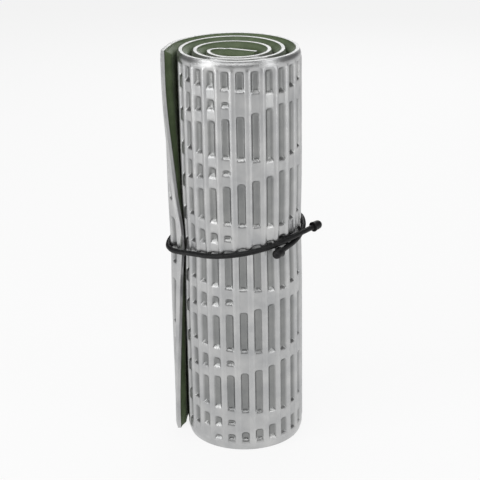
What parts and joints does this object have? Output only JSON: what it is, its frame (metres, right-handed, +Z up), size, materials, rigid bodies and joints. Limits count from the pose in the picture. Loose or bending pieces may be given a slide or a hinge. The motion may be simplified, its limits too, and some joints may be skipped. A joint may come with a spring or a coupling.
{
  "type": "foam sleeping pad",
  "caption": "Rolled closed-cell foam sleeping pad with an embossed reflective film outside, stood on end and held by a bendable rubber-covered wire tie.",
  "frame": {"origin": "on the base face, on the straight inner end of the sheet, close to the roll's axis", "axes": "+Z up along the roll, -Y to the side where the tie crosses, +X to the right seen from there"},
  "size_m": [0.1976, 0.1706, 0.51],
  "materials": {
    "foam": "matte",
    "film": "satin",
    "tie_rubber": "matte",
    "tie_steel": "satin"
  },
  "bodies": {
    "roll": {"foam_mat": "foam", "foam_inner_end": "foam", "film_inner_end": "film", "film_mat": "film", "tie_back_sheath": "tie_rubber", "tie_back_wire": "tie_steel"},
    "flap": {"foam_flap": "foam", "film_flap": "film"},
    "tie_left_arm": {"tie_left_arm_sheath": "tie_rubber", "tie_left_arm_wire": "tie_steel"},
    "tie_right_arm": {"tie_right_arm_sheath": "tie_rubber", "tie_right_arm_wire": "tie_steel"},
    "tie_left_tail": {"tie_left_tail_sheath": "tie_rubber", "tie_left_tail_wire": "tie_steel", "tie_left_end_cap": "tie_rubber"},
    "tie_right_tail": {"tie_right_tail_sheath": "tie_rubber", "tie_right_tail_wire": "tie_steel", "tie_right_end_cap": "tie_rubber"}
  },
  "joints": [
    {"name": "tie_left_open", "type": "hinge", "parent": "roll", "child": "tie_left_arm", "pos_m": [-0.07377, 0.05626, 0.26085], "axis": [0, 0, -1], "range_deg": [0, 90]},
    {"name": "tie_right_open", "type": "hinge", "parent": "roll", "child": "tie_right_arm", "pos_m": [0.05664, 0.05512, 0.28197], "axis": [0, 0, 1], "range_deg": [0, 50]},
    {"name": "flap_lift", "type": "hinge", "parent": "roll", "child": "flap", "pos_m": [-0.07716, 0.04594, 0.255], "axis": [0, 0, -1], "range_deg": [0, 46]},
    {"name": "tie_left_tail_bend", "type": "hinge", "parent": "tie_left_arm", "child": "tie_left_tail", "pos_m": [0.05399, -0.05484, 0.28155], "axis": [0, 0, -1], "range_deg": [0, 80]},
    {"name": "tie_right_tail_bend", "type": "hinge", "parent": "tie_right_arm", "child": "tie_right_tail", "pos_m": [0.06267, -0.04448, 0.27455], "axis": [0, 0, 1], "range_deg": [0, 60]}
  ],
  "couplings": [
    {"joint": "tie_right_open", "follows": "tie_left_open", "ratio": 0.55},
    {"joint": "flap_lift", "follows": "tie_left_open", "ratio": 0.5}
  ]
}
